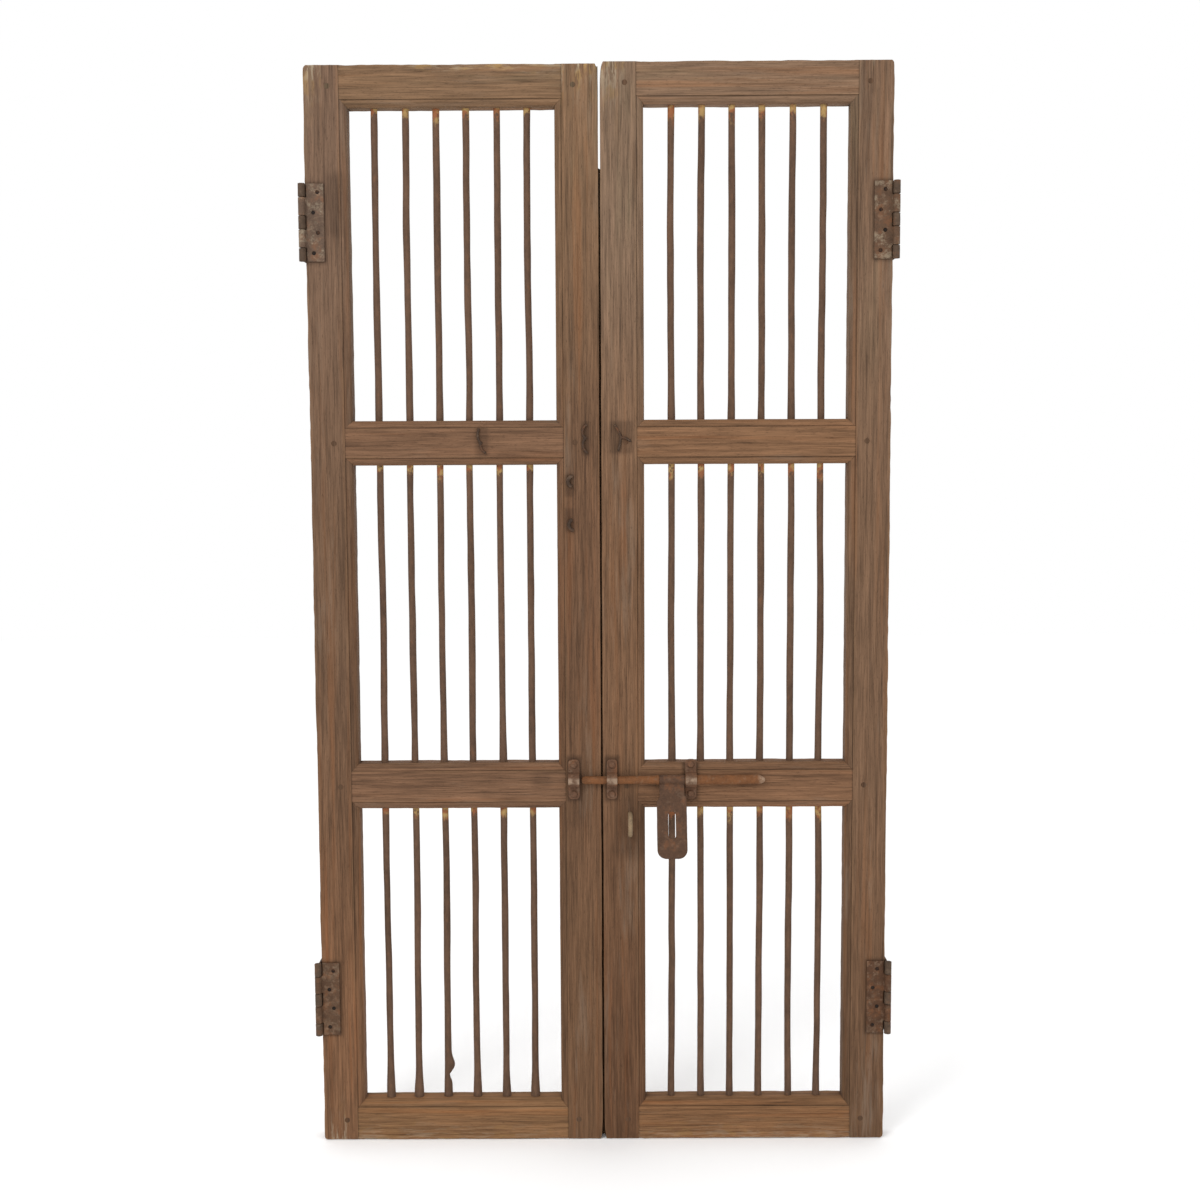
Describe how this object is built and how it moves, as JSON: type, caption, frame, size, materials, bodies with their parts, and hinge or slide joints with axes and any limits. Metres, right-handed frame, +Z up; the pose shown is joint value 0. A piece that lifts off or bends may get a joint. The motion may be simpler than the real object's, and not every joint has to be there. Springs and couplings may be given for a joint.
{
  "type": "garden gate",
  "caption": "Double-leaf wooden garden gate with round iron bars, butt hinges and a sliding bolt with a slotted hasp that drops over a padlock staple.",
  "frame": {"origin": "bottom centre: midway between the outer hinge knuckles, at the foot of the leaves, on the plane of the leaves' front face", "axes": "+Z up the leaves, +X to the right seen from the front, +Y from the front face towards the back; the front faces -Y"},
  "size_m": [0.7804, 0.0964, 1.4375],
  "materials": {
    "teak": "bare weathered hardwood with worn edges",
    "peg_wood": "bare weathered end grain",
    "bar_iron": "evenly rusted wrought iron",
    "hinge_iron": "rusted iron with grime",
    "dark_iron": "dark rusted screws",
    "wire_iron": "dark rusted wire",
    "bolt_iron": "rusted iron, rubbed bright at the edges",
    "strap_iron": "rusted iron strap with worn edges"
  },
  "bodies": {
    "post_plates": {"left_upper_post_plate": "hinge_iron", "left_upper_hinge_pin": "hinge_iron", "left_lower_post_plate": "hinge_iron", "left_lower_hinge_pin": "hinge_iron", "right_upper_post_plate": "hinge_iron", "right_upper_hinge_pin": "hinge_iron", "right_lower_post_plate": "hinge_iron", "right_lower_hinge_pin": "hinge_iron"},
    "left_leaf": {"left_hinge_stile": "teak", "left_meeting_stile": "teak", "left_bottom_rail": "teak", "left_lower_mid_rail": "teak", "left_upper_mid_rail": "teak", "left_top_rail": "teak", "left_bar_1": "bar_iron", "left_bar_2": "bar_iron", "left_bar_3": "bar_iron", "left_bar_4": "bar_iron", "left_bar_5": "bar_iron", "left_bar_6": "bar_iron", "left_tenon_pegs": "peg_wood", "left_upper_leaf_plate": "hinge_iron", "left_lower_leaf_plate": "hinge_iron", "left_hinge_screws": "dark_iron", "left_pull_cotter": "wire_iron", "rail_cotter": "wire_iron", "clinched_staple": "wire_iron", "bolt_keeper": "strap_iron", "keeper_rivets": "strap_iron"},
    "right_leaf": {"right_hinge_stile": "teak", "right_meeting_stile": "teak", "right_bottom_rail": "teak", "right_lower_mid_rail": "teak", "right_upper_mid_rail": "teak", "right_top_rail": "teak", "right_bar_1": "bar_iron", "right_bar_2": "bar_iron", "right_bar_3": "bar_iron", "right_bar_4": "bar_iron", "right_bar_5": "bar_iron", "right_bar_6": "bar_iron", "right_tenon_pegs": "peg_wood", "right_upper_leaf_plate": "hinge_iron", "right_lower_leaf_plate": "hinge_iron", "right_hinge_screws": "dark_iron", "right_pull_cotter": "wire_iron", "middle_guide_strap": "strap_iron", "end_guide_strap": "strap_iron", "guide_rivets": "strap_iron", "padlock_staple": "strap_iron"},
    "bolt_rod": {"bolt_rod": "bolt_iron"},
    "hasp": {"hasp": "bolt_iron"}
  },
  "joints": [
    {"name": "right_leaf_swing", "type": "hinge", "parent": "post_plates", "child": "right_leaf", "pos_m": [0.3855, -0.0047, 0.7165], "axis": [0, 0, 1], "range_deg": [0, 110]},
    {"name": "left_leaf_swing", "type": "hinge", "parent": "post_plates", "child": "left_leaf", "pos_m": [-0.3855, -0.0047, 0.7165], "axis": [0, 0, -1], "range_deg": [0, 110]},
    {"name": "bolt_slide", "type": "slide", "parent": "right_leaf", "child": "bolt_rod", "axis": [1, 0, 0], "range_m": [-0.055, 0]},
    {"name": "hasp_turn", "type": "hinge", "parent": "bolt_rod", "child": "hasp", "pos_m": [0.14, -0.0074, 0.4995], "axis": [-1, 0, 0], "range_deg": [-22, 158]}
  ],
  "couplings": [
    {"joint": "left_leaf_swing", "follows": "right_leaf_swing", "ratio": 1}
  ]
}
